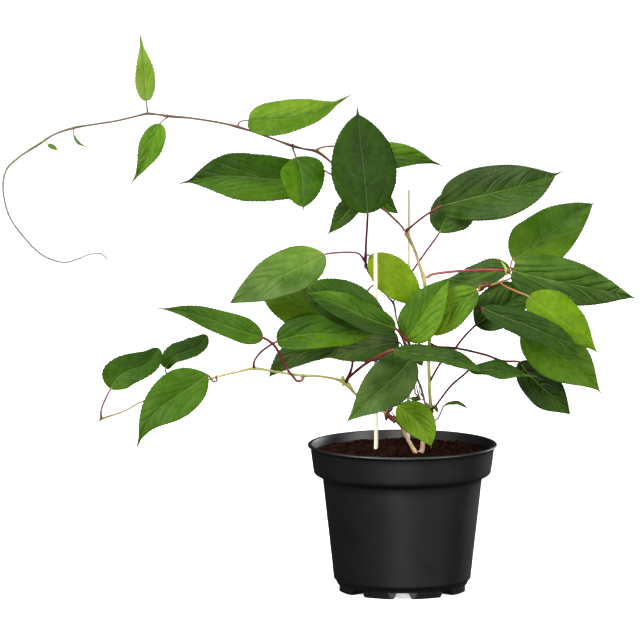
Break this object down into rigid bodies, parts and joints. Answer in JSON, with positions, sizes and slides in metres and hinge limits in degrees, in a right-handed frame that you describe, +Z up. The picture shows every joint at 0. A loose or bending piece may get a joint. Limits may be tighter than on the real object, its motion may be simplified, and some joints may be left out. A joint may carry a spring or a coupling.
{
  "type": "potted climbing plant",
  "caption": "Young climbing vine with toothed oval leaves on long arching shoots, rooted in a tapered round nursery pot of soil with thin split canes.",
  "frame": {"origin": "middle of the pot's base, on the surface that the pot stands on", "axes": "+Z up along the pot's axis, -Y towards the front, +X to the right as seen from the front"},
  "size_m": [0.634, 0.19, 0.5592],
  "materials": {
    "pot_plastic": "black moulded plastic, satin",
    "potting_soil": "dark moist crumbs",
    "split_cane": "pale split cane",
    "stem_olive": "smooth young bark, woody tan at the foot",
    "stem_brown": "young bark with fine hairs",
    "stem_green": "smooth young bark",
    "stem_dark": "dark young bark",
    "stem_red": "smooth red young bark",
    "leaf_lime": "young leaf, satin",
    "leaf_fresh": "fresh green leaf, satin",
    "leaf_mid": "green leaf, satin",
    "leaf_dark": "dark green leaf, slightly shiny",
    "leaf_deep": "very dark green leaf, slightly shiny"
  },
  "bodies": {
    "root": {"pot": "pot_plastic", "soil": "potting_soil", "cane_short": "split_cane", "cane_tall": "split_cane", "main_stem": "stem_olive", "upper_runner": "stem_brown", "lower_runner": "stem_green", "centre_twig": "stem_dark", "right_shoot": "stem_red", "leaf_upper_1": "leaf_lime", "leaf_upper_2": "leaf_fresh", "leaf_upper_3": "leaf_lime", "leaf_upper_4": "leaf_mid", "leaf_upper_5": "leaf_mid", "leaf_upper_6": "leaf_dark", "leaf_tiny_1": "leaf_mid", "leaf_tiny_2": "leaf_mid", "leaf_top_1": "leaf_dark", "leaf_top_2": "leaf_dark", "leaf_top_3": "leaf_dark", "leaf_right_1": "leaf_dark", "leaf_right_2": "leaf_dark", "leaf_right_3": "leaf_mid", "leaf_right_4": "leaf_mid", "leaf_right_5": "leaf_lime", "leaf_right_6": "leaf_dark", "leaf_right_7": "leaf_mid", "leaf_right_8": "leaf_deep", "leaf_right_9": "leaf_deep", "leaf_right_10": "leaf_dark", "leaf_middle_1": "leaf_lime", "leaf_middle_2": "leaf_fresh", "leaf_middle_3": "leaf_fresh", "leaf_middle_4": "leaf_mid", "leaf_middle_5": "leaf_dark", "leaf_middle_6": "leaf_mid", "leaf_middle_7": "leaf_dark", "leaf_middle_8": "leaf_dark", "leaf_left_1": "leaf_fresh", "leaf_left_2": "leaf_mid", "leaf_front_1": "leaf_mid", "leaf_front_2": "leaf_dark", "leaf_front_3": "leaf_dark", "leaf_foot": "leaf_fresh", "leaf_small_1": "leaf_dark", "leaf_small_2": "leaf_dark", "leaf_small_3": "leaf_mid", "leaf_small_4": "leaf_dark", "leaf_low_1": "leaf_mid", "leaf_low_2": "leaf_mid", "leaf_low_3": "leaf_dark", "leaf_low_4": "leaf_deep"}
  },
  "joints": []
}
